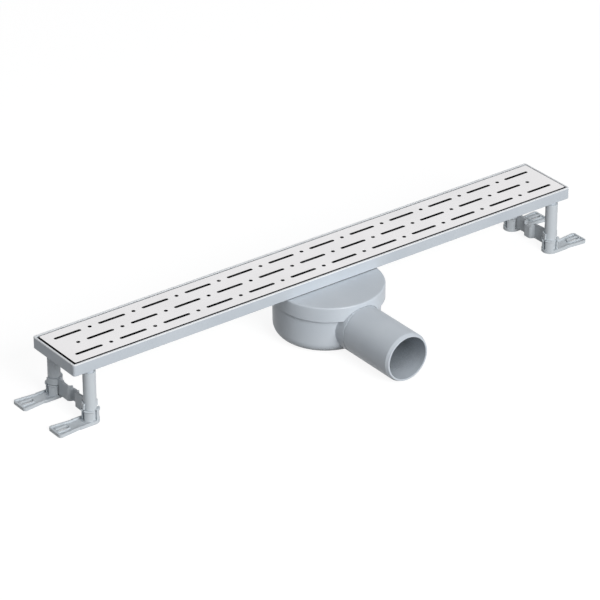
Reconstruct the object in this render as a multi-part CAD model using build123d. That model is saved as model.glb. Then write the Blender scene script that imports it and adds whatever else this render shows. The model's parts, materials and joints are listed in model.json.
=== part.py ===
# Linear shower drain with a low side trap, for a 600 mm long grate.
# The frame: millimetres, +Z up, z = 0 on the floor under the feet. The origin lies at the centre of
# the four foot slots, under the middle of the channel. +X runs along the channel and the outlet
# pipe points along -Y.

from build123d import *
import os

# Channel: one moulding with a rim, a ledge for the grate, a falling trough and an outlet sump
CHANNEL_L = 605.0        # outside length
CHANNEL_W = 70.0         # outside width
SKIRT_H = 12.3           # height of the outer skirt
CORNER_R = 2.5           # corners of the skirt in plan
RIM_T = 1.8              # the thin land round the grate
SKIRT_EDGE_R = 0.5       # softened edges of the skirt
WALL = 2.2               # moulded wall of channel and trap cover
LEDGE_W = 6.3            # ledge on each long side
LEDGE_END = 31.8         # the same at each end, from the rim to the trough
TROUGH_DRAFT = 5.0       # how far each side of the trough leans in
TROUGH_DEPTH = 9.3       # ledge to trough floor, beside the sump
TROUGH_FALL = 1.6        # how much higher the floor is at the ends
TROUGH_R = 3.0           # corner between floor and side
SUMP_R = 25.5            # round sump at the outlet
SUMP_DEPTH = 12.1        # ledge to sump floor
RIB_T = 1.6              # cross ribs under the ledge
RIB_PITCH = 50.0
RIB_END = 26.5           # last rib, from the channel's end
RIB_UP = 1.5             # ribs stay this far above the skirt's lower edge

# Grate: pressed plate with folded edges
GRATE_GAP = 2.4          # rim to grate, on the long sides
GRATE_END_GAP = 1.8      # the same at the ends
GRATE_SHIFT = 0.8        # the loose grate lies this much towards the right end
GRATE_T = 1.0            # sheet
GRATE_DEPTH = 4.5        # plate top to the fold's lower edge
GRATE_R = 1.4            # corners in plan
GRATE_FOLD_R = 0.4       # outside of the fold
SLOT_L = 30.3
SLOT_W = 3.5
DOT_R = 2.0
PATTERN_PITCH = 50.0     # one slot and one round hole in each pitch
ROW_PITCH = 18.1
OUTER_SLOTS = 12         # slots in each outer row, one fewer in the middle row
PAD_L, PAD_W, PAD_T = 14.0, 4.0, 1.0
PAD_PITCH = 168.0
PADS_IN_ROW = 4

# Trap: a round bowl with a side outlet, under a round cover
FLOOR_GAP = 0.3          # bowl and pipe clear the floor
PIPE_R = 25.0
PIPE_WALL = 3.0
PIPE_END_Y = -151.5      # end of the outlet pipe
PIPE_CHAMFER_L = 3.2     # lead-in at the pipe's end, along the pipe
PIPE_CHAMFER_D = 1.4     # the same, across
PIPE_FIT = 0.25          # pipe to the arch in the cover's rim
STOP_GAP = 1.5           # groove that marks how far a socket goes on, from the cover's rim
STOP_W = 1.2             # the groove, along the pipe
STOP_D = 0.3             # the groove, into the wall
PIPE_ROOF = 4.7          # top of the pipe to the cover's top
COVER_R = 55.5
COVER_RIM_H = 15.5
COVER_EDGE_R = 1.6
COVER_WEB_T = 2.5        # inner web that sits on the bowl
COVER_DROP = 0.7         # cover's top under the channel's skirt
TRAP_BACK = 28.5         # how far the trap reaches to +Y of the channel's middle
BOWL_INSET = 0.3         # bowl's side inside the cover's rim, at the back
BOWL_BACK = 3.0          # bowl's axis behind the cover's, so the rim stands out more at the front
BOWL_LIFT = 0.6          # bowl's underside above the pipe's
BOWL_WALL = 2.6
BOWL_DRAFT = 0.6
BOWL_EDGE_R = 19.0       # large radius round the bottom
SEAT_GAP = 0.3           # cover's web to the bowl's top edge
LIP_GAP = 0.3            # lip inside the bowl's mouth
LIP_T = 2.2
LIP_H = 6.0
WEIR_OFFSET = 25.0       # weir wall, from the cover's axis towards the outlet
WEIR_T = 2.2
WEIR_H = 27.0
RECESS_GAP = 0.5         # cover's recess to the channel
RECESS_BACK = 12.0       # the recess runs out at the back

# Waste flange, seals, dip tube and strainer, all on the axis of the sump
SEAL_T = 1.6
FLANGE_R = 22.5
FLANGE_T = 2.2
FLANGE_BODY_R = 19.0
FLANGE_BODY_L = 14.0     # below the sump floor
FLANGE_BORE_R = 16.8
FLANGE_FIT = 0.25        # body to the hole in the sump and to the socket
FLANGE_NOTCHES = 6       # notches for a tightening key
FLANGE_NOTCH_W = 4.0
FLANGE_NOTCH_D = 1.6
SOCKET_WALL = 3.4
SEAT_R = 18.6            # counterbore for the dip tube's lip
SEAT_DEPTH = 1.2
TUBE_WALL = 1.6
TUBE_FIT = 0.3           # band of the dip tube to the flange's bore
TUBE_STEP = 1.1          # band to the plain tube below
TUBE_BAND_L = 12.0
DIP_GAP = 8.2            # bowl floor to the dip tube's lower end
RING_R = 0.8             # section of the O-ring
RING_DOWN = 5.0          # O-ring below the lip
STRAINER_LIP_T = 1.2
STRAINER_WALL = 1.2
STRAINER_GAP = 0.5       # basket to the dip tube
STRAINER_DEPTH = 14.0
STRAINER_HOLE_R = 1.6    # round holes in the floor; the side slots are as wide
STRAINER_SLOT_L = 7.0
STRAINER_HOLES = 8       # holes, and slots
KNOB_R = 2.2
KNOB_TOP_R = 3.6
KNOB_H = 7.0             # above the strainer's lip

# Legs: plain tubes pushed on pegs under the channel, standing in the feet
LEG_R = 6.3
LEG_BORE_R = 4.1
LEG_IN_X = 19.4          # leg axis from the channel's end
LEG_IN_Y = 4.6           # leg axis from the channel's side
LEG_UNDER = 1.7          # top of the tube under the skirt's edge
PEG_FIT = 0.2            # peg to the tube's bore
PEG_L = 14.0
PEG_SHOULDER = 0.4       # shoulder wider than the bore
PEG_TIP = 0.8

# Feet: a pad under the leg, and a slotted tongue that widens away from the channel
FOOT_PAD_W = 17.6
FOOT_PAD_REACH = 17.5    # leg axis to the end of the pad
FOOT_PAD_R = 2.0
FOOT_NECK_W = 12.6       # tongue's width at the leg axis, where the pad hides it
FOOT_END_W = 21.0        # tongue's width at its end
FOOT_REACH = 41.0        # leg axis to the tongue's end
FOOT_T = 1.6
FOOT_RIM_T = 1.6
FOOT_RIM_H = 1.6
FOOT_END_R = 3.0
FOOT_SLOT_X = 31.5       # slot centre from the leg axis
FOOT_SLOT_L = 14.0
FOOT_SLOT_W = 5.0
FOOT_SLOT_RIM = 1.2
FOOT_PEG_L = 8.0
SOCKET_FIT = 0.2
CLAW_T = 1.9             # four claws stand round the leg
CLAW_H = 12.6
CLAW_HOOK = 0.9          # bead round the claws' tips
CLAW_SLOT_W = 3.9        # slots between the claws
CLAW_ROOT = 1.6          # closed part below the slots

# Cross links: a strip between the two legs of an end, with a spring bulge and a clip at each leg.
# The strip's ends lie in the slots between the claws, and the clips sit above the claws
LINK_T = 2.2
LINK_Z0 = 3.0
LINK_Z1 = 21.2
LINK_BULGE = 4.6         # bulge towards the channel's middle
LINK_BULGE_W = 8.0
LINK_BEND_R = 1.6
CLIP_FIT = 0.2
CLIP_T = 1.6
CLIP_ANGLE = 195.0       # how far a clip wraps round its leg
CLIP_GAP = 0.4           # clip to the claws below it, and strip to the pad's rim

# Levels and places that follow from the sizes above
PIPE_Z = FLOOR_GAP + PIPE_R
COVER_TOP = PIPE_Z + PIPE_R + PIPE_ROOF
COVER_Z0 = COVER_TOP - COVER_RIM_H
SKIRT_Z0 = COVER_TOP + COVER_DROP
TOP_Z = SKIRT_Z0 + SKIRT_H
LEDGE_Z = TOP_Z - GRATE_DEPTH - PAD_T
TROUGH_L = CHANNEL_L - 2 * (RIM_T + LEDGE_END)
TROUGH_W = CHANNEL_W - 2 * (RIM_T + LEDGE_W)
SUMP_Z = LEDGE_Z - SUMP_DEPTH
SOCKET_Z = SUMP_Z - WALL - SEAL_T
HOLE_R = FLANGE_BODY_R + FLANGE_FIT
TRAP_Y = TRAP_BACK - COVER_R
BOWL_R = COVER_R - BOWL_INSET - BOWL_BACK
BOWL_Y = TRAP_Y + BOWL_BACK
BOWL_TOP = COVER_Z0 - SEAT_GAP
MOUTH_R = BOWL_R - BOWL_WALL
LIP_R = MOUTH_R - LIP_GAP - BOWL_DRAFT
BOWL_UNDER = FLOOR_GAP + BOWL_LIFT
BOWL_FLOOR = BOWL_UNDER + BOWL_WALL
GRATE_L = CHANNEL_L - 2 * (RIM_T + GRATE_END_GAP)
GRATE_W = CHANNEL_W - 2 * (RIM_T + GRATE_GAP)
LEG_X = CHANNEL_L / 2 - LEG_IN_X
LEG_Y = CHANNEL_W / 2 - LEG_IN_Y
LEG_TOP = SKIRT_Z0 - LEG_UNDER
TUBE_LIP_TOP = SUMP_Z + FLANGE_T
TUBE_LIP_Z = TUBE_LIP_TOP - SEAT_DEPTH
TUBE_BAND_R = FLANGE_BORE_R - TUBE_FIT
TUBE_R = TUBE_BAND_R - TUBE_STEP
TUBE_BORE_R = TUBE_R - TUBE_WALL
RING_Z = TUBE_LIP_Z - RING_DOWN
PIPE_ROOT_Y = TRAP_Y - WEIR_OFFSET
PIPE_STOP_Y = TRAP_Y - COVER_R - STOP_GAP
FAR = 2 * CHANNEL_L      # longer than anything it cuts


def plate(length, width, radius, z0, z1):
    """A flat block from z0 up to z1 with rounded corners in plan."""
    return Pos(0, 0, z0) * extrude(RectangleRounded(length, width, radius), z1 - z0)


def disc(radius, z0, z1):
    """A round block from z0 up to z1."""
    return Pos(0, 0, z0) * extrude(Circle(radius), z1 - z0)


def ring(outer, inner, z0, z1):
    """A round wall from z0 up to z1."""
    return disc(outer, z0, z1) - disc(inner, z0, z1)


def turned(points, rounding=None, radius=0.0):
    """A solid turned about Z from (radius, height) points, with one point rounded if asked."""
    face = Plane.XZ * make_face(Polyline(*points, close=True))
    if rounding is not None:
        corner = face.vertices().sort_by_distance((rounding[0], 0, rounding[1]))[0]
        face = fillet(corner, radius)
    return revolve(face, Axis.Z)


def trough(grow):
    """The trough's space, grown by a wall: leaning sides across, a falling floor along."""
    low = LEDGE_Z - TROUGH_DEPTH - grow
    top_half = TROUGH_W / 2 + grow
    low_half = top_half - TROUGH_DRAFT
    across = make_face(
        Polyline((-top_half, LEDGE_Z), (-low_half, low), (low_half, low), (top_half, LEDGE_Z), close=True)
    )
    across = fillet(across.vertices().group_by(Axis.Y)[0], TROUGH_R + grow)
    end = TROUGH_L / 2 + grow
    foot_end = end - TROUGH_DRAFT
    along = make_face(
        Polyline(
            (-end, LEDGE_Z), (-foot_end, low + TROUGH_FALL), (-SUMP_R, low), (SUMP_R, low),
            (foot_end, low + TROUGH_FALL), (end, LEDGE_Z), close=True,
        )
    )
    across = extrude(Plane.YZ * across, FAR, both=True)
    along = extrude(Plane.XZ * along, FAR, both=True)
    return across & along


def leg_places():
    """Name and axis of each leg."""
    for side, sx in (("left", -1), ("right", 1)):
        for row, sy in (("front", -1), ("back", 1)):
            yield row, side, sx, sy


def leg_peg():
    """The shouldered peg under the channel that a leg tube is pushed on."""
    radius = LEG_BORE_R - PEG_FIT
    shoulder = LEG_BORE_R + PEG_SHOULDER
    low = LEG_TOP - PEG_L
    top = LEDGE_Z - WALL / 2
    return turned([
        (0, low), (radius - PEG_TIP, low), (radius, low + PEG_TIP), (radius, LEG_TOP),
        (shoulder, LEG_TOP), (shoulder, top), (0, top),
    ])


def channel_body():
    """Rim, ledge, trough, sump, ribs and leg pegs, moulded in one piece."""
    body = plate(CHANNEL_L, CHANNEL_W, CORNER_R, SKIRT_Z0, TOP_Z)
    levels = body.edges().group_by(Axis.Z)
    body = fillet(levels[0] + levels[-1], SKIRT_EDGE_R)
    inner_l, inner_w = CHANNEL_L - 2 * RIM_T, CHANNEL_W - 2 * RIM_T
    body -= plate(inner_l, inner_w, CORNER_R - RIM_T, SKIRT_Z0, LEDGE_Z - WALL)
    body += trough(WALL)
    body += disc(SUMP_R + WALL, SUMP_Z - WALL, LEDGE_Z - WALL / 2)
    ribs_half = int((CHANNEL_L / 2 - RIB_END) // RIB_PITCH) + 1
    rib_h = LEDGE_Z - WALL / 2 - SKIRT_Z0 - RIB_UP
    for i in range(ribs_half):
        x = CHANNEL_L / 2 - RIB_END - i * RIB_PITCH
        for sx in (-1, 1):
            rib = Box(RIB_T, CHANNEL_W - RIM_T, rib_h, align=(Align.CENTER, Align.CENTER, Align.MIN))
            body += Pos(sx * x, 0, SKIRT_Z0 + RIB_UP) * rib
    for row, side, sx, sy in leg_places():
        body += Pos(sx * LEG_X, sy * LEG_Y, 0) * leg_peg()
    body -= plate(inner_l, inner_w, CORNER_R - RIM_T, LEDGE_Z, TOP_Z)
    body -= trough(0)
    body -= disc(SUMP_R, SUMP_Z, LEDGE_Z)
    body -= disc(HOLE_R, SUMP_Z - WALL, SUMP_Z)
    return body


def grate():
    """Folded plate with three rows of slots; round holes lie between the slots."""
    sheet = plate(GRATE_L, GRATE_W, GRATE_R, TOP_Z - GRATE_DEPTH, TOP_Z)
    sheet = fillet(sheet.edges().group_by(Axis.Z)[-1], GRATE_FOLD_R)
    sheet -= plate(GRATE_L - 2 * GRATE_T, GRATE_W - 2 * GRATE_T, GRATE_R - GRATE_T,
                   TOP_Z - GRATE_DEPTH, TOP_Z - GRATE_T)
    holes = []
    for row in (-1, 0, 1):
        slots = OUTER_SLOTS if row else OUTER_SLOTS - 1
        dots = OUTER_SLOTS - 1 if row else OUTER_SLOTS
        for i in range(slots):
            x = (i - (slots - 1) / 2) * PATTERN_PITCH
            holes.append(Pos(x, row * ROW_PITCH) * SlotOverall(SLOT_L, SLOT_W))
        for i in range(dots):
            x = (i - (dots - 1) / 2) * PATTERN_PITCH
            holes.append(Pos(x, row * ROW_PITCH) * Circle(DOT_R))
    cut = Pos(0, 0, TOP_Z - GRATE_DEPTH) * extrude(Sketch() + holes, GRATE_DEPTH)
    return Pos(GRATE_SHIFT, 0, 0) * (sheet - cut)


def grate_pads():
    """Rubber pads on the ledge, under the grate's folded edge."""
    y = GRATE_W / 2 - GRATE_T / 2
    pads = []
    for i in range(PADS_IN_ROW):
        x = (i - (PADS_IN_ROW - 1) / 2) * PAD_PITCH
        for sy in (-1, 1):
            pad = Box(PAD_L, PAD_W, PAD_T, align=(Align.CENTER, Align.CENTER, Align.MIN))
            pads.append(Pos(x, sy * y, LEDGE_Z) * pad)
    return Compound(children=pads)


def pipe_space(radius):
    """A round bar along the outlet, from the weir out to the pipe's end."""
    length = PIPE_ROOT_Y - PIPE_END_Y
    return Pos(0, PIPE_ROOT_Y, PIPE_Z) * Rot(90, 0, 0) * disc(radius, 0, length)


def recess(grow):
    """The space in the cover that channel and sump lie in, grown by a wall and open to the back."""
    space = trough(WALL + RECESS_GAP + grow)
    space += Pos(0, RECESS_BACK, 0) * space
    return space + disc(SUMP_R + WALL + RECESS_GAP + grow, SOCKET_Z - grow, COVER_TOP)


def trap_cover():
    """Round cover with a deep rim, a recess for the channel and the inlet socket."""
    cover = disc(COVER_R, COVER_Z0, COVER_TOP)
    cover = fillet(cover.edges().group_by(Axis.Z)[-1], COVER_EDGE_R)
    web_top = COVER_Z0 + COVER_WEB_T
    cover = Pos(0, TRAP_Y, 0) * cover + Pos(0, BOWL_Y, 0) * disc(LIP_R, COVER_Z0 - LIP_H, COVER_Z0)
    cover -= Pos(0, BOWL_Y, 0) * disc(LIP_R - LIP_T, COVER_Z0 - LIP_H, web_top) + recess(0)
    cover -= Pos(0, TRAP_Y, 0) * disc(COVER_R - WALL, web_top, COVER_TOP - WALL) - recess(WALL)
    socket_z0 = SOCKET_Z + WALL - FLANGE_BODY_L
    cover += disc(HOLE_R + SOCKET_WALL, socket_z0, SOCKET_Z)
    cover -= disc(HOLE_R, socket_z0, SOCKET_Z)
    cover -= pipe_space(PIPE_R + PIPE_FIT)
    return cover


def bowl_form(radius, low, edge, top):
    """Round bowl form with draft and a large bottom radius."""
    base = radius - BOWL_DRAFT
    points = [(0, low), (base, low), (radius, top), (0, top)]
    return turned(points, rounding=(base, low), radius=edge)


def trap_bowl():
    """Bowl, weir and outlet pipe, moulded in one piece."""
    outer = bowl_form(BOWL_R, BOWL_UNDER, BOWL_EDGE_R, BOWL_TOP)
    inner = bowl_form(MOUTH_R, BOWL_FLOOR, BOWL_EDGE_R - BOWL_WALL, BOWL_TOP)
    outer, inner = (Pos(0, BOWL_Y, 0) * form for form in (outer, inner))
    weir = inner & Pos(0, PIPE_ROOT_Y, BOWL_FLOOR) * Box(
        FAR, WEIR_T, WEIR_H, align=(Align.CENTER, Align.CENTER, Align.MIN)
    )
    length = PIPE_ROOT_Y - PIPE_END_Y
    stop = PIPE_ROOT_Y - PIPE_STOP_Y
    pipe = turned([
        (0, 0), (PIPE_R, 0), (PIPE_R, stop - STOP_W), (PIPE_R - STOP_D, stop - STOP_W),
        (PIPE_R - STOP_D, stop), (PIPE_R, stop), (PIPE_R, length - PIPE_CHAMFER_L),
        (PIPE_R - PIPE_CHAMFER_D, length), (0, length),
    ])
    pipe = Pos(0, PIPE_ROOT_Y, PIPE_Z) * Rot(90, 0, 0) * pipe
    pipe -= inner
    pipe -= Pos(0, BOWL_Y, 0) * disc(LIP_R - LIP_T, BOWL_TOP - LIP_H, COVER_TOP)
    bowl = outer - inner + pipe
    bowl -= pipe_space(PIPE_R - PIPE_WALL)
    return bowl + weir


def waste_flange():
    """Flanged ring that screws into the trap's socket and clamps the sump floor."""
    low = SUMP_Z - FLANGE_BODY_L
    top = SUMP_Z + FLANGE_T
    flange = turned([
        (FLANGE_BORE_R, low), (FLANGE_BODY_R, low), (FLANGE_BODY_R, SUMP_Z), (FLANGE_R, SUMP_Z),
        (FLANGE_R, top), (SEAT_R, top), (SEAT_R, top - SEAT_DEPTH), (FLANGE_BORE_R, top - SEAT_DEPTH),
    ])
    notch = Box(2 * FLANGE_NOTCH_D, FLANGE_NOTCH_W, FAR)
    for i in range(FLANGE_NOTCHES):
        flange -= Rot(0, 0, 360 * i / FLANGE_NOTCHES) * Pos(FLANGE_R, 0, 0) * notch
    return flange


def inlet_seal():
    """Flat ring between the sump's underside and the trap's socket."""
    return ring(HOLE_R + SOCKET_WALL, HOLE_R, SOCKET_Z, SOCKET_Z + SEAL_T)


def odour_insert():
    """Dip tube with a lip, a thicker band with the O-ring's groove, and a plain lower end."""
    low = BOWL_FLOOR + DIP_GAP
    groove = TUBE_BAND_R + TUBE_FIT - 2 * RING_R
    band = TUBE_LIP_Z - TUBE_BAND_L
    return turned([
        (TUBE_BORE_R, low), (TUBE_R, low), (TUBE_R, band - TUBE_STEP), (TUBE_BAND_R, band),
        (TUBE_BAND_R, RING_Z - RING_R), (groove, RING_Z - RING_R), (groove, RING_Z + RING_R),
        (TUBE_BAND_R, RING_Z + RING_R), (TUBE_BAND_R, TUBE_LIP_Z), (SEAT_R - TUBE_FIT, TUBE_LIP_Z),
        (SEAT_R - TUBE_FIT, TUBE_LIP_TOP), (TUBE_BORE_R, TUBE_LIP_TOP),
    ])


def insert_seal():
    """O-ring in the dip tube's groove."""
    centre = TUBE_BAND_R + TUBE_FIT - RING_R
    return Pos(0, 0, RING_Z) * Torus(centre, RING_R)


def hair_strainer():
    """Basket with a lip, slotted floor and a knob to lift it by."""
    outer = TUBE_BORE_R - STRAINER_GAP
    inner = outer - STRAINER_WALL
    lip_top = TUBE_LIP_TOP + STRAINER_LIP_T
    low = lip_top - STRAINER_DEPTH
    floor = low + STRAINER_WALL
    knob_top = lip_top + KNOB_H
    basket = turned([
        (0, low), (outer, low), (outer, TUBE_LIP_TOP), (SEAT_R - TUBE_FIT, TUBE_LIP_TOP),
        (SEAT_R - TUBE_FIT, lip_top), (inner, lip_top), (inner, floor), (KNOB_R, floor),
        (KNOB_R, knob_top - KNOB_R), (KNOB_TOP_R, knob_top - KNOB_R / 2), (KNOB_TOP_R, knob_top),
        (0, knob_top),
    ])
    hole_x = (inner + KNOB_R) / 2
    slot_z = (floor + TUBE_LIP_TOP) / 2
    slot = Rot(0, 90, 0) * SlotOverall(STRAINER_SLOT_L, 2 * STRAINER_HOLE_R)
    for i in range(STRAINER_HOLES):
        turn = Rot(0, 0, 360 * i / STRAINER_HOLES)
        basket -= turn * Pos(hole_x, 0, 0) * disc(STRAINER_HOLE_R, low, floor)
        basket -= turn * Pos(KNOB_R, 0, slot_z) * extrude(slot, outer)
    return basket


def leg():
    """Plain tube from the foot's plate up to the peg's shoulder."""
    return ring(LEG_R, LEG_BORE_R, FOOT_T, LEG_TOP)


def foot_plan(inset):
    """Outline of a foot in plan, pad and tongue towards +X, set in by inset."""
    pad_half = FOOT_PAD_W / 2 - inset
    pad_end = FOOT_PAD_REACH - inset
    pad = Pos(pad_end / 2, 0) * Rectangle(pad_end, 2 * pad_half)
    pad = fillet(pad.vertices().group_by(Axis.X)[-1], FOOT_PAD_R)
    neck_half = FOOT_NECK_W / 2 - inset
    end_half = FOOT_END_W / 2 - inset
    reach = FOOT_REACH - inset
    tongue = make_face(
        Polyline((0, -neck_half), (reach, -end_half), (reach, end_half), (0, neck_half), close=True)
    )
    tongue = fillet(tongue.vertices().group_by(Axis.X)[-1], FOOT_END_R - inset)
    return Circle(pad_half) + pad + tongue


def claws():
    """Four claws round the leg, with a bead at their tips and slots between them."""
    inner = LEG_R + SOCKET_FIT
    outer = inner + CLAW_T
    bead = outer + CLAW_HOOK
    top = FOOT_T + CLAW_H
    wall = turned([
        (inner, 0), (outer, 0), (outer, top - 2 * CLAW_HOOK), (bead, top - CLAW_HOOK),
        (bead, top - CLAW_HOOK / 2), (outer, top), (inner, top),
    ])
    slot = Pos(0, 0, FOOT_T + CLAW_ROOT) * Box(
        FAR, CLAW_SLOT_W, FAR, align=(Align.CENTER, Align.CENTER, Align.MIN)
    )
    return wall - slot - Rot(0, 0, 90) * slot


def foot():
    """Foot with its leg axis at the origin and its tongue towards +X."""
    base = extrude(foot_plan(0), FOOT_T)
    rim_top = FOOT_T + FOOT_RIM_H
    base += extrude(foot_plan(0) - foot_plan(FOOT_RIM_T), rim_top)
    base += claws()
    peg_r = LEG_BORE_R - PEG_FIT
    peg_top = FOOT_T + FOOT_PEG_L
    base += turned([(0, 0), (peg_r, 0), (peg_r, peg_top - PEG_TIP), (peg_r - PEG_TIP, peg_top), (0, peg_top)])
    slot_rim = Pos(FOOT_SLOT_X, 0) * SlotOverall(
        FOOT_SLOT_L + 2 * FOOT_SLOT_RIM, FOOT_SLOT_W + 2 * FOOT_SLOT_RIM
    )
    base += extrude(slot_rim, rim_top)
    slot = Pos(FOOT_SLOT_X, 0) * SlotOverall(FOOT_SLOT_L, FOOT_SLOT_W)
    return base - extrude(slot, rim_top)


def cross_link(sx):
    """Strip with a spring bulge and a clip round each leg; the bulge points to the middle."""
    inner = LEG_R + CLIP_FIT
    end = LEG_Y - inner
    half = LINK_BULGE_W / 2
    path = FilletPolyline(
        (0, -end), (0, -half - LINK_BULGE / 2), (LINK_BULGE, -half), (LINK_BULGE, half),
        (0, half + LINK_BULGE / 2), (0, end), radius=LINK_BEND_R,
    )
    link = Pos(0, 0, LINK_Z0) * extrude(trace(path, LINK_T), LINK_Z1 - LINK_Z0)
    strip_low = FOOT_T + max(FOOT_RIM_H, CLAW_ROOT) + CLIP_GAP
    clip_low = FOOT_T + CLAW_H + CLIP_GAP
    section = Pos(inner + CLIP_T / 2, (clip_low + LINK_Z1) / 2) * Rectangle(CLIP_T, LINK_Z1 - clip_low)
    clip = Rot(0, 0, -90 - CLIP_ANGLE / 2) * revolve(Plane.XZ * section, Axis.Z, CLIP_ANGLE)
    for sy in (-1, 1):
        link -= Pos(0, sy * LEG_Y, 0) * disc(FOOT_PAD_W / 2 + CLIP_GAP, LINK_Z0, strip_low)
        link += Pos(0, sy * LEG_Y, 0) * Rot(0, 0, 0 if sy > 0 else 180) * clip
    if sx > 0:
        link = Rot(0, 0, 180) * link
    return Pos(sx * LEG_X, 0, 0) * link


def all_parts():
    """Every piece by its name."""
    parts = {
        "channel_body": channel_body(),
        "grate": grate(),
        "grate_pads": grate_pads(),
        "trap_cover": trap_cover(),
        "trap_bowl": trap_bowl(),
        "waste_flange": waste_flange(),
        "inlet_seal": inlet_seal(),
        "odour_insert": odour_insert(),
        "insert_seal": insert_seal(),
        "hair_strainer": hair_strainer(),
        "cross_link_left": cross_link(-1),
        "cross_link_right": cross_link(1),
    }
    for row, side, sx, sy in leg_places():
        place = Pos(sx * LEG_X, sy * LEG_Y, 0)
        turn = Rot(0, 0, 0 if sx > 0 else 180)
        parts[f"leg_{row}_{side}"] = place * leg()
        parts[f"foot_{row}_{side}"] = place * turn * foot()
    return parts


os.makedirs("parts", exist_ok=True)
for name, shape in all_parts().items():
    export_step(shape, f"parts/{name}.step")
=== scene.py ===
# %% [markdown]
# A linear shower drain for a studio picture.
#
# The drain is a long moulded channel with a stainless grate, a low round trap with an outlet pipe,
# and four short legs on slotted feet. The measured model gives every piece its place and size, so
# this lesson spends its time on finishes, soft moulded edges, light and the camera.

# %% Load
import json
import math

import bmesh
import bpy
from mathutils import Matrix, Vector


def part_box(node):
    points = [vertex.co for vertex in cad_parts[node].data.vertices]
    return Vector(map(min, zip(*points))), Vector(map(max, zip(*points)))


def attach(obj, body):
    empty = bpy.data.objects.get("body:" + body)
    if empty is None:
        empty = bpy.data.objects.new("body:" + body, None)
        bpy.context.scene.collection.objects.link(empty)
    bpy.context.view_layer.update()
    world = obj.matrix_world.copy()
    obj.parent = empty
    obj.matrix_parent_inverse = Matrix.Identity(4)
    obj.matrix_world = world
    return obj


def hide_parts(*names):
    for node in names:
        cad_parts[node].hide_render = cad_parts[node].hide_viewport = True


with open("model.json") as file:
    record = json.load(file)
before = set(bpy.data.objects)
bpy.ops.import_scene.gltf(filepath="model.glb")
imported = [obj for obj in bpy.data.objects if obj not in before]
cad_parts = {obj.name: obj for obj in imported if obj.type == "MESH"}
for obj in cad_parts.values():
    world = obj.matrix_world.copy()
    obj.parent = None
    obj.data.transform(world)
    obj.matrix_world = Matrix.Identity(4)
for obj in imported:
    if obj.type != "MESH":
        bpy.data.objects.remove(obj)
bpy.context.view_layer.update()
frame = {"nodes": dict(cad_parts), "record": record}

nodes = frame["nodes"]
print("pieces in the model:", len(nodes))

# %% [markdown]
# The camera.
#
# The picture looks along the drain from one end, a little from above, with a long lens, so the
# grate hardly narrows towards its far end. A camera could be placed by trial, but here its
# direction is two angles, and its distance and lens follow from how large the drain appears. It
# looks at a point just beside the middle of the grate, which lies a little off the channel's
# middle, as a loose grate does.

# %% Camera
VIEW_AZIMUTH = math.radians(-36.93)
VIEW_ELEVATION = math.radians(28.88)
VIEW_DISTANCE = 3.304
VIEW_LENS = 202.6
SENSOR = 36.0
FAR_CLIP = 50
AIM_LEFT, AIM_DOWN = 0.01235, 0.0406     # from the grate's middle to the aim, in the picture

grate_low, grate_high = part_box("grate")
grate_middle = Vector(((grate_low[0] + grate_high[0]) / 2, 0, grate_high[2]))
towards_camera = Vector((
    math.sin(VIEW_AZIMUTH) * math.cos(VIEW_ELEVATION),
    -math.cos(VIEW_AZIMUTH) * math.cos(VIEW_ELEVATION),
    math.sin(VIEW_ELEVATION),
))
turn = towards_camera.to_track_quat("Z", "Y")
aim = grate_middle - turn @ Vector((AIM_LEFT, AIM_DOWN, 0))

camera_data = bpy.data.cameras.new("camera")
camera_data.lens = VIEW_LENS
camera_data.sensor_width = SENSOR
camera_data.clip_end = FAR_CLIP
camera = bpy.data.objects.new("camera", camera_data)
camera.location = aim + towards_camera * VIEW_DISTANCE
camera.rotation_euler = turn.to_euler()
bpy.context.scene.collection.objects.link(camera)
bpy.context.scene.camera = camera
print("camera at", [round(value, 3) for value in camera.location])

# %% [markdown]
# Light and background.
#
# The drain stands on white, with one soft lamp square to its long side and an even, weaker light
# from all round, a little stronger from above. The long side wall faces the lamp and comes out
# pale, the end walls and the undersides turn grey, and nothing is clipped. Strong lamps could make
# the floor white too, but they would bleach the drain. So the white is only what the camera sees
# of the world and the floor, and metal sees the same white in its reflections.

# %% Helpers for node materials
def new_nodes(tree):
    """An empty node tree and a short way to add nodes to it."""
    tree.nodes.clear()

    def add(kind, **settings):
        node = tree.nodes.new(kind)
        for key, value in settings.items():
            if hasattr(node, key):
                setattr(node, key, value)
            else:
                node.inputs[key.replace("_", " ")].default_value = value
        return node

    def link(source, target):
        tree.links.new(source, target)

    return add, link


def seen_by_eye(add, link):
    """1 for rays from the camera, a reflection or clear material, 0 for light that spreads."""
    path = add("ShaderNodeLightPath")
    highest = path.outputs["Is Camera Ray"]
    for name in ("Is Glossy Ray", "Is Transmission Ray"):
        either = add("ShaderNodeMath", operation="MAXIMUM")
        link(highest, either.inputs[0])
        link(path.outputs[name], either.inputs[1])
        highest = either.outputs[0]
    return highest


# %% World
AMBIENT_LEVEL = 0.245    # strength of the light from the horizon and below
AMBIENT_ABOVE = 0.36     # strength straight from above
AMBIENT_COLOUR = (0.97, 0.98, 1.0, 1)
WHITE = (1, 1, 1, 1)

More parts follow.
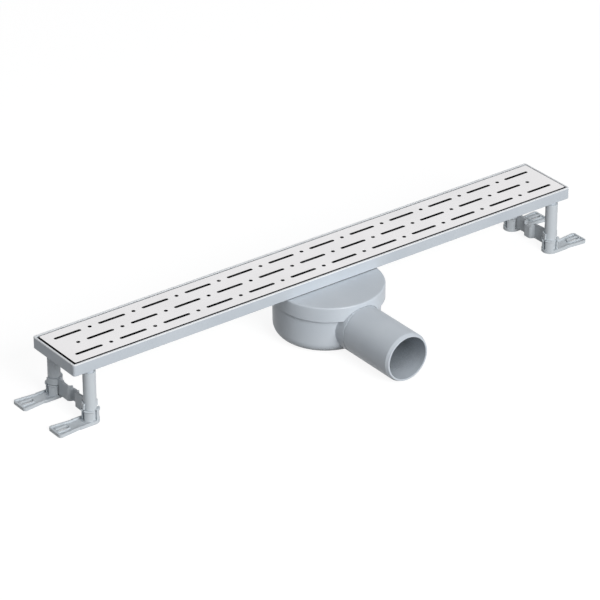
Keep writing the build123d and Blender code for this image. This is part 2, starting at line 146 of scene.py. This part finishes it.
world = bpy.data.worlds.new("studio")
world.use_nodes = True
bpy.context.scene.world = world
add, link = new_nodes(world.node_tree)
direction = add("ShaderNodeSeparateXYZ")
link(add("ShaderNodeTexCoord").outputs["Generated"], direction.inputs[0])
height = add(
    "ShaderNodeMapRange", From_Min=0.0, From_Max=1.0, To_Min=AMBIENT_LEVEL, To_Max=AMBIENT_ABOVE
)
link(direction.outputs["Z"], height.inputs["Value"])
even_light = add("ShaderNodeBackground", Color=AMBIENT_COLOUR)
link(height.outputs["Result"], even_light.inputs["Strength"])
white = add("ShaderNodeBackground", Color=WHITE, Strength=1.0)
mix = add("ShaderNodeMixShader")
link(seen_by_eye(add, link), mix.inputs[0])
link(even_light.outputs[0], mix.inputs[1])
link(white.outputs[0], mix.inputs[2])
link(mix.outputs[0], add("ShaderNodeOutputWorld").inputs[0])
print("light from all round:", AMBIENT_LEVEL, "to", AMBIENT_ABOVE)

# %% Lamp
KEY_FROM = Vector((-0.08, -0.85, 0.45))
KEY_DISTANCE = 3.0
KEY_SIZE = 1.4
KEY_WATTS = 72

key_light = bpy.data.lights.new("key_lamp", "AREA")
key_light.size = KEY_SIZE
key_light.energy = KEY_WATTS
key_lamp = bpy.data.objects.new("key_lamp", key_light)
key_lamp.location = KEY_FROM.normalized() * KEY_DISTANCE
key_lamp.rotation_euler = KEY_FROM.to_track_quat("Z", "Y").to_euler()
bpy.context.scene.collection.objects.link(key_lamp)
print("lamp at", [round(value, 3) for value in key_lamp.location])

# %% [markdown]
# The floor.
#
# The drain stands on a wide sheet of white paper. A pale floor alone would turn grey away from the
# lamp, and a glowing one would lose the shadow. So the camera sees mostly an even glow and to a
# small share the lit paper, which keeps a soft shadow by the drain, and the light that the floor
# throws back at the drain is that of a grey one.

# %% Floor
FLOOR_SIZE = 30
FLOOR_DROP = 0.0002      # under the feet, so that the two faces never lie in one plane
FLOOR_GREY = 0.20
SHADOW_SHARE = 0.22      # of the lit paper in what the camera sees
PAPER_GLOW = 1.135

floor_mesh = bpy.data.meshes.new("floor")
shape = bmesh.new()
bmesh.ops.create_grid(shape, x_segments=1, y_segments=1, size=FLOOR_SIZE / 2)
bmesh.ops.translate(shape, verts=shape.verts, vec=(0, 0, -FLOOR_DROP))
shape.to_mesh(floor_mesh)
shape.free()
floor = bpy.data.objects.new("floor", floor_mesh)
bpy.context.scene.collection.objects.link(floor)

floor_finish = bpy.data.materials.new("floor_paper")
floor_finish.use_nodes = True
add, link = new_nodes(floor_finish.node_tree)
grey_paper = add("ShaderNodeBsdfDiffuse", Color=(FLOOR_GREY, FLOOR_GREY, FLOOR_GREY, 1))
shaded_paper = add("ShaderNodeBsdfDiffuse", Color=WHITE)
bright_paper = add("ShaderNodeEmission", Color=WHITE, Strength=PAPER_GLOW)
seen_paper = add("ShaderNodeMixShader", Fac=1 - SHADOW_SHARE)
link(shaded_paper.outputs[0], seen_paper.inputs[1])
link(bright_paper.outputs[0], seen_paper.inputs[2])
mix = add("ShaderNodeMixShader")
link(seen_by_eye(add, link), mix.inputs[0])
link(grey_paper.outputs[0], mix.inputs[1])
link(seen_paper.outputs[0], mix.inputs[2])
link(mix.outputs[0], add("ShaderNodeOutputMaterial").inputs[0])
floor_mesh.materials.append(floor_finish)

# %% [markdown]
# Colours and clouds.
#
# Every finish here starts from noise on the piece's own coordinates, which stays in place from any
# side. A picture of plastic could be wrapped round the pieces, but it would show its edges and
# repeat on a part this long. A helper makes noise of a given width in metres, another spreads its
# middle values over a range, and a third mixes two colours by it.

# %% Helpers for finishes
NOISE_LOW, NOISE_HIGH = 0.3, 0.7     # nearly all of a noise lies between these


def linear(code):
    """Blender's colour for a #rrggbb code."""
    channels = [int(code[i:i + 2], 16) / 255 for i in (1, 3, 5)]
    return tuple(
        c / 12.92 if c <= 0.04045 else ((c + 0.055) / 1.055) ** 2.4 for c in channels
    ) + (1,)


def noise(add, link, vector, size, detail=3.0, roughness=0.5):
    """Noise whose blotches are about size metres wide."""
    texture = add("ShaderNodeTexNoise", Scale=1 / size, Detail=detail, Roughness=roughness)
    link(vector, texture.inputs["Vector"])
    return texture.outputs["Fac"]


def ranged(add, link, value, low, high):
    """The middle values of a noise, spread from low to high."""
    spread = add(
        "ShaderNodeMapRange", From_Min=NOISE_LOW, From_Max=NOISE_HIGH, To_Min=low, To_Max=high
    )
    link(value, spread.inputs["Value"])
    return spread.outputs["Result"]


def share_between(add, link, value, low, high):
    """0 where the value is at low, 1 where it is at high."""
    share = add("ShaderNodeMapRange", From_Min=low, From_Max=high, To_Min=0.0, To_Max=1.0)
    link(value, share.inputs["Value"])
    return share.outputs["Result"]


def height_of(add, link, vector):
    """The Z share of a place or a direction."""
    parts = add("ShaderNodeSeparateXYZ")
    link(vector, parts.inputs[0])
    return parts.outputs["Z"]


def blend_colours(add, link, value, first, second):
    """A colour from first, where the value is 0, to second, where it is 1."""
    colours = add("ShaderNodeMix", data_type="RGBA")
    for colour, socket in ((first, colours.inputs[6]), (second, colours.inputs[7])):
        if isinstance(colour, tuple):
            socket.default_value = colour
        else:
            link(colour, socket)
    link(value, colours.inputs[0])
    return colours.outputs[2]


# %% [markdown]
# Painted shade in seams, a painted highlight on the rim and deep painted shade.
#
# Narrow seams and slots catch almost no light, so they get a dark shade. It could be painted on by
# hand, but an Ambient Occlusion node finds them all: it tells how open the space is within a
# reach. Three values say where the shade lies: the reach, the open share below which a surface is
# fully dark, and the share above which it keeps its colour.
#
# Two more painted marks follow the photograph, where the drain looks new and clean. The channel's
# rim is paler at its top, a painted highlight, clearly so at the near end. The slots are nearly
# black and the pipe's mouth is dark, but light from all round reaches too deep for that. So a
# painted dark shade stands for the missing shadow: below the grate on whatever looks up, and deep
# in the trap and its pipe, where little is open. Less light from all round would be truer, but
# then the end walls would turn too dark.

# %% Painted highlight and painted shades
OPENING_SAMPLES = 8
# the painted shade in narrow seams and slots
SEAM_SHADE = "#1c1f23"
# the colour of the painted highlight on the channel rim's top
PAINTED_RIM_HIGHLIGHT = "#edf0f3"
RIM_HIGHLIGHT_FADE = 0.0004


def open_share(add, link, reach, low, high):
    """0 where the open share of the space within reach is at low, 1 where it is at high."""
    opening = add("ShaderNodeAmbientOcclusion", samples=OPENING_SAMPLES, Distance=reach)
    return share_between(add, link, opening.outputs["AO"], low, high)


def shaded_seams(add, link, colour, reach, dark_below, plain_above):
    """The colour, turned to a painted shade where little of the space within reach is open."""
    openness = open_share(add, link, reach, dark_below, plain_above)
    return blend_colours(add, link, openness, linear(SEAM_SHADE), colour)


def highlighted_above(add, link, place, colour, height):
    """The colour, with a painted highlight above a height."""
    level = height_of(add, link, place)
    paler = share_between(add, link, level, height - RIM_HIGHLIGHT_FADE, height)
    return blend_colours(add, link, paler, colour, linear(PAINTED_RIM_HIGHLIGHT))


def deep_shaded(add, link, place, colour, shade, reach, opening, below=None, facing=None):
    """The colour, turned to a shade where a face lies deep in a hollow.

    Each of opening, below and facing is a pair: shaded at the first value, plain at the second.
    Opening is the open share of the space within reach, below is a height, and facing says how much
    a face looks up.
    """
    plain = open_share(add, link, reach, *opening)
    normal = add("ShaderNodeTexCoord").outputs["Normal"]
    for direction, pair in ((place, below), (normal, facing)):
        if pair is None:
            continue
        share = share_between(add, link, height_of(add, link, direction), *pair)
        either = add("ShaderNodeMath", operation="MAXIMUM")
        link(plain, either.inputs[0])
        link(share, either.inputs[1])
        plain = either.outputs[0]
    return blend_colours(add, link, plain, linear(shade), colour)


# %% [markdown]
# Moulded plastic.
#
# Channel, trap, legs and feet are injection moulded in a satin, pale blue-grey plastic. One flat
# colour would do from far away. Under a lamp, though, such a wall isn't one colour: the melt
# leaves faint clouds, and the tool's surface gives a fine grain. The edges are never sharp either,
# and a Bevel node rounds them in the shading without a point added to the measured shapes.

# %% Plastic
CLOUD_WIDTH = 0.045
DULL_WIDTH = 0.004
DULL_SPREAD = 0.08
GRAIN_WIDTH = 0.00035
GRAIN_DEPTH = 0.00004
GRAIN_STRENGTH = 0.25
SOFT_EDGE = 0.0004
EDGE_SAMPLES = 6
PLASTIC_IOR = 1.49


def plastic(name, pale, deep, gloss, seams, highlight_from=None, deep_shade=None):
    """A moulded plastic with cloudy colour, fine grain, painted shade in its seams and soft edges.
    """
    material = bpy.data.materials.new(name)
    material.use_nodes = True
    add, link = new_nodes(material.node_tree)
    place = add("ShaderNodeTexCoord").outputs["Object"]
    surface = add("ShaderNodeBsdfPrincipled", IOR=PLASTIC_IOR)
    clouds = ranged(add, link, noise(add, link, place, CLOUD_WIDTH), 0.0, 1.0)
    colour = blend_colours(add, link, clouds, linear(pale), linear(deep))
    if highlight_from is not None:
        colour = highlighted_above(add, link, place, colour, highlight_from)
    if deep_shade is not None:
        colour = deep_shaded(add, link, place, colour, **deep_shade)
    link(shaded_seams(add, link, colour, *seams), surface.inputs["Base Color"])
    dull = noise(add, link, place, DULL_WIDTH)
    link(ranged(add, link, dull, gloss, gloss + DULL_SPREAD), surface.inputs["Roughness"])
    soft_edge = add("ShaderNodeBevel", samples=EDGE_SAMPLES, Radius=SOFT_EDGE)
    bump = add("ShaderNodeBump", Strength=GRAIN_STRENGTH, Distance=GRAIN_DEPTH)
    link(noise(add, link, place, GRAIN_WIDTH, detail=2.0), bump.inputs["Height"])
    link(soft_edge.outputs[0], bump.inputs["Normal"])
    link(bump.outputs[0], surface.inputs["Normal"])
    link(surface.outputs[0], add("ShaderNodeOutputMaterial").inputs[0])
    return material


# %% The four plastics
UNDER_GRATE = (0.015, 0.10, 0.22)
THIN_SEAMS = (0.003, 0.02, 0.22)
HIGHLIGHT_DEPTH = 0.0008      # the painted highlight on the rim, from its top
SHADE_DEPTH = 0.0035     # the shade's upper edge, from the rim's top
SHADE_FADE = 0.0010

rim_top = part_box("channel_body")[1][2]
shade_line = rim_top - SHADE_DEPTH
grate_shade = {
    "shade": "#222527", "reach": 0.020, "opening": (0.50, 0.80),
    "below": (shade_line - SHADE_FADE, shade_line), "facing": (0.35, 0.20),
}
pipe_shade = {"shade": "#666e76", "reach": 0.060, "opening": (0.14, 0.27)}

channel_finish = plastic(
    "channel_moulding", "#c9d0d7", "#c0c8d0", 0.42, UNDER_GRATE,
    highlight_from=rim_top - HIGHLIGHT_DEPTH, deep_shade=grate_shade,
)
trap_finish = plastic(
    "trap_moulding", "#ced5dc", "#c5cdd5", 0.38, THIN_SEAMS, deep_shade=pipe_shade
)
leg_finish = plastic("leg_moulding", "#d2d8dd", "#c9d0d5", 0.40, THIN_SEAMS)
inner_finish = plastic(
    "inner_moulding", "#dfe2e4", "#d5d9dc", 0.42, THIN_SEAMS, deep_shade=grate_shade
)
print("shade under the grate below", round(shade_line, 4))

# %% [markdown]
# The bowl's lower corner.
#
# The measured bowl has a large round at the bottom, and the photographed one is fuller there. A
# skin adds that form. It could be sculpted, but a turned form is truer from a profile, here of six
# points: down the wall, a little outside it, in under the bowl, and back up inside the wall, where
# nothing shows. Bevelling two of the points rounds the lower corners, spinning the profile makes
# the ring, and a scale makes it slightly wider across the outlet. The outlet pipe has to stay
# free, so a bar as thick as the middle of the pipe's wall is cut out of the ring, and the cut's
# edges lie hidden.

# %% Sizes of the skin
SKIN = 0.0003            # outside the bowl's wall
SKIN_SINK = 0.0018       # inside it
SKIN_WIDER = 1.032       # the skin's width across the outlet, over its length along it
WALL_DRAFT = 0.0006      # how far the wall leans in at the bottom
OLD_CORNER = 0.0190      # the bowl's own round
NEW_CORNER = 0.0120
BOWL_LIFT = 0.0006       # the bowl's underside above the pipe's
RIM_HEIGHT = 0.0155      # cover's top to the rim's lower edge
RIM_CLEAR = 0.0005       # below that edge
SKIN_INNER_R = 0.0300    # the skin ends here under the bowl
PIPE_WALL_MIDDLE = 0.0235     # radius, between the pipe's bore and its outside
CORNER_STEPS = 14
TURN_STEPS = 160
MERGE = 1e-6
SOFT_ANGLE = math.radians(40)

bowl_low, bowl_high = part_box("trap_bowl")
bowl_radius = (bowl_high[0] - bowl_low[0]) / 2
bowl_axis_y = bowl_high[1] - bowl_radius
pipe_axis_z = (bowl_low[2] + bowl_high[2]) / 2
skin_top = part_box("trap_cover")[1][2] - RIM_HEIGHT - RIM_CLEAR
skin_low = bowl_low[2]
hidden_low = skin_low + BOWL_LIFT + SKIN_SINK
outer_base = bowl_radius + SKIN - WALL_DRAFT
inner_base = bowl_radius - WALL_DRAFT - SKIN_SINK

# %% Ring
shape = bmesh.new()
corners = [
    shape.verts.new((radius, bowl_axis_y, z)) for radius, z in (
        (bowl_radius + SKIN, skin_top), (outer_base, skin_low), (SKIN_INNER_R, skin_low),
        (SKIN_INNER_R, hidden_low), (inner_base, hidden_low), (inner_base, skin_top),
    )
]
shape.faces.new(corners)
for corner, radius in ((corners[1], NEW_CORNER), (corners[4], OLD_CORNER - SKIN_SINK)):
    bmesh.ops.bevel(
        shape, geom=[corner], affect="VERTICES", offset=radius, segments=CORNER_STEPS,
        profile=0.5, material=-1,
    )
bmesh.ops.delete(shape, geom=shape.faces[:], context="FACES_ONLY")
bmesh.ops.spin(
    shape, geom=shape.verts[:] + shape.edges[:], cent=(0, bowl_axis_y, 0), axis=(0, 0, 1),
    angle=2 * math.pi, steps=TURN_STEPS, use_merge=True,
)
bmesh.ops.remove_doubles(shape, verts=shape.verts, dist=MERGE)
bmesh.ops.recalc_face_normals(shape, faces=shape.faces)
bmesh.ops.scale(shape, verts=shape.verts, vec=(SKIN_WIDER, 1, 1))
for face in shape.faces:
    face.smooth = True
for edge in shape.edges:
    edge.smooth = edge.calc_face_angle(0) < SOFT_ANGLE
ring_mesh = bpy.data.meshes.new("bowl_ring")
shape.to_mesh(ring_mesh)
shape.free()
ring_mesh.materials.append(trap_finish)
bowl_skin = bpy.data.objects.new("bowl_lower_corner", ring_mesh)
bpy.context.scene.collection.objects.link(bowl_skin)

# %% Room for the pipe
shape = bmesh.new()
bar_length = bowl_axis_y - bowl_low[1]
bmesh.ops.create_cone(
    shape, cap_ends=True, segments=TURN_STEPS, radius1=PIPE_WALL_MIDDLE,
    radius2=PIPE_WALL_MIDDLE, depth=bar_length,
)
bmesh.ops.rotate(shape, verts=shape.verts, matrix=Matrix.Rotation(math.pi / 2, 3, "X"))
bmesh.ops.translate(
    shape, verts=shape.verts, vec=(0, bowl_axis_y - bar_length / 2, pipe_axis_z)
)
bar_mesh = bpy.data.meshes.new("pipe_bar")
shape.to_mesh(bar_mesh)
shape.free()
bar = bpy.data.objects.new("pipe_bar", bar_mesh)
bpy.context.scene.collection.objects.link(bar)

cut = bowl_skin.modifiers.new("room_for_pipe", "BOOLEAN")
cut.operation = "DIFFERENCE"
cut.solver = "EXACT"
cut.object = bar
finished = bowl_skin.evaluated_get(bpy.context.evaluated_depsgraph_get())
skin_mesh = bpy.data.meshes.new_from_object(finished)
bowl_skin.modifiers.clear()
bowl_skin.data = skin_mesh
skin_mesh.name = "bowl_lower_corner"
bpy.data.objects.remove(bar)
bpy.data.meshes.remove(bar_mesh)
bpy.data.meshes.remove(ring_mesh)
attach(bowl_skin, "root")
print("bowl skin faces:", len(skin_mesh.polygons))

# %% [markdown]
# Brushed stainless steel.
#
# The grate is drawn along its length under a belt, which leaves scratches of a few centimetres,
# far longer than wide. Cutting them into the mesh would take millions of points. Noise stretched
# along X gives them instead, once in the roughness and once as a very slight bump. Reflections
# spread across the scratches, so the plate looks almost white. Its cut and folded sides, and every
# other face that doesn't look up, get a painted shade, dark beside it, for the shadow in the gaps
# and slots round it.

# %% Steel
STEEL_SEAMS = (0.004, 0.25, 0.60)
# painted shade on the grate's sides, every face that doesn't look up
PAINTED_SIDE_SHADE = "#2b2d30"
LOOKS_UP = (0.35, 0.75)       # from the painted side shade to the plate, by how much a face looks up
STEEL_TONE_WIDTH = 0.06
STEEL_DARKER = 0.95
SCRATCH_WIDTH = 0.00045
SCRATCH_STRETCH = 70.0
SCRATCH_DEPTH = 0.00003
SCRATCH_STRENGTH = 0.2
STEEL_ROUGHNESS = (0.34, 0.46)
STEEL_EDGE = 0.0003


def brushed_steel(name, colour):
    """Steel brushed along X, with a painted shade on every face that doesn't look up."""
    material = bpy.data.materials.new(name)
    material.use_nodes = True
    add, link = new_nodes(material.node_tree)
    coordinates = add("ShaderNodeTexCoord")
    place = coordinates.outputs["Object"]
    surface = add("ShaderNodeBsdfPrincipled", Metallic=1.0)

    tone = ranged(add, link, noise(add, link, place, STEEL_TONE_WIDTH), 0.0, 1.0)
    pale = linear(colour)
    darker = tuple(c * STEEL_DARKER for c in pale[:3]) + (1,)
    toned = blend_colours(add, link, tone, pale, darker)
    seamed = shaded_seams(add, link, toned, *STEEL_SEAMS)
    upward = height_of(add, link, coordinates.outputs["Normal"])
    on_top = share_between(add, link, upward, *LOOKS_UP)
    # painted shade on every face of the grate that doesn't look up
    side_shaded = blend_colours(add, link, on_top, linear(PAINTED_SIDE_SHADE), seamed)
    link(side_shaded, surface.inputs["Base Color"])

    along = add("ShaderNodeMapping", Scale=(1 / SCRATCH_STRETCH, 1, 1))
    link(place, along.inputs["Vector"])
    scratches = noise(add, link, along.outputs[0], SCRATCH_WIDTH, detail=4.0, roughness=0.6)
    link(ranged(add, link, scratches, *STEEL_ROUGHNESS), surface.inputs["Roughness"])
    soft_edge = add("ShaderNodeBevel", samples=EDGE_SAMPLES, Radius=STEEL_EDGE)
    bump = add("ShaderNodeBump", Strength=SCRATCH_STRENGTH, Distance=SCRATCH_DEPTH)
    link(scratches, bump.inputs["Height"])
    link(soft_edge.outputs[0], bump.inputs["Normal"])
    link(bump.outputs[0], surface.inputs["Normal"])
    link(surface.outputs[0], add("ShaderNodeOutputMaterial").inputs[0])
    return material


grate_finish = brushed_steel("grate_steel", "#ecebec")

# %% [markdown]
# Rubber.
#
# Seals and pads are black rubber with a dusty, almost matt skin. A plain dark colour would look
# like a hole in the picture, so a fine bloom of a paler black lies on it, and a fine bump breaks
# its shine.

# %% Rubber
RUBBER_IOR = 1.5
BLOOM_WIDTH = 0.003
SKIN_WIDTH = 0.001
RUBBER_ROUGHNESS = (0.62, 0.78)
RUBBER_GRAIN_WIDTH = 0.0004
RUBBER_GRAIN_DEPTH = 0.00004
RUBBER_GRAIN_STRENGTH = 0.3


def rubber(name, black, bloomed):
    """Matt black rubber with a faint bloom."""
    material = bpy.data.materials.new(name)
    material.use_nodes = True
    add, link = new_nodes(material.node_tree)
    place = add("ShaderNodeTexCoord").outputs["Object"]
    surface = add("ShaderNodeBsdfPrincipled", IOR=RUBBER_IOR)
    bloom = ranged(add, link, noise(add, link, place, BLOOM_WIDTH), 0.0, 1.0)
    colour = blend_colours(add, link, bloom, linear(black), linear(bloomed))
    link(colour, surface.inputs["Base Color"])
    skin = noise(add, link, place, SKIN_WIDTH)
    link(ranged(add, link, skin, *RUBBER_ROUGHNESS), surface.inputs["Roughness"])
    bump = add("ShaderNodeBump", Strength=RUBBER_GRAIN_STRENGTH, Distance=RUBBER_GRAIN_DEPTH)
    link(noise(add, link, place, RUBBER_GRAIN_WIDTH), bump.inputs["Height"])
    link(bump.outputs[0], surface.inputs["Normal"])
    link(surface.outputs[0], add("ShaderNodeOutputMaterial").inputs[0])
    return material


rubber_finish = rubber("seal_rubber", "#1c1c1e", "#2a2a2c")

# %% [markdown]
# Putting the finishes on.
#
# The measured model names a slot for each piece, such as trap_plastic. Each slot gets one finish,
# so pieces of the same material can't drift apart. The pieces made here take theirs directly.

# %% Finishes
finish_of_slot = {
    "channel_plastic": channel_finish,
    "grate_steel": grate_finish,
    "trap_plastic": trap_finish,
    "leg_plastic": leg_finish,
    "inner_plastic": inner_finish,
    "seal_rubber": rubber_finish,
}
slot_of_node = {part["node"]: part["material_slot"] for part in frame["record"]["subparts"]}
for name, node in nodes.items():
    finish = finish_of_slot[slot_of_node[name]]
    if not node.material_slots:
        node.data.materials.append(finish)
    for material_slot in node.material_slots:
        material_slot.material = finish
print("finishes:", sorted(set(slot_of_node.values())))

# %% [markdown]
# The cross links.
#
# A link ties the two legs of one end together: a strip with a spring bulge in the middle and a
# clip round each leg. In the photograph the strip is a little less high than in the measured
# model, and the bulge less high still. A new strip could be built, but it would have to fit round
# the legs again. So each link is a copy of the measured one with its points brought to the right
# levels.

# %% Links
STRIP_LOW = 0.0044
STRIP_TOP = 0.0202
BULGE_TOP = 0.0174
CLIP_LOW = 0.0140        # points above this belong to the top of strip, bulge or clip
STRIP_REACH = 0.0215     # the strip ends here, across the drain, and the clips begin
BULGE_REACH = 0.0052     # the same for the bulge


def link_level(y, z):
    """Where a point of the measured link goes to."""
    if z < CLIP_LOW:
        return max(z, STRIP_LOW)
    if abs(y) < BULGE_REACH:
        return min(z, BULGE_TOP)
    if abs(y) < STRIP_REACH:
        return min(z, STRIP_TOP)
    return z


for side in ("left", "right"):
    measured = nodes[f"cross_link_{side}"]
    shape = bmesh.new()
    shape.from_mesh(measured.data)
    bmesh.ops.remove_doubles(shape, verts=shape.verts, dist=MERGE)
    for point in shape.verts:
        point.co.z = link_level(point.co.y, point.co.z)
    bmesh.ops.dissolve_degenerate(shape, edges=shape.edges, dist=MERGE)
    bmesh.ops.recalc_face_normals(shape, faces=shape.faces)
    link_mesh = bpy.data.meshes.new(f"link_strip_{side}")
    shape.to_mesh(link_mesh)
    shape.free()
    link_mesh.materials.append(leg_finish)
    link_piece = bpy.data.objects.new(f"link_strip_{side}", link_mesh)
    bpy.context.scene.collection.objects.link(link_piece)
    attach(link_piece, "root")
    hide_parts(f"cross_link_{side}")
    print(link_mesh.name, "faces:", len(link_mesh.polygons))

# %% [markdown]
# Colours as written.
#
# The view transform maps the light to the picture. Filmic ones press bright colours together,
# which suits a sunny room, but a white studio keeps its white and its greys with the standard one.

# %% Colour management
bpy.context.scene.view_settings.view_transform = "Standard"
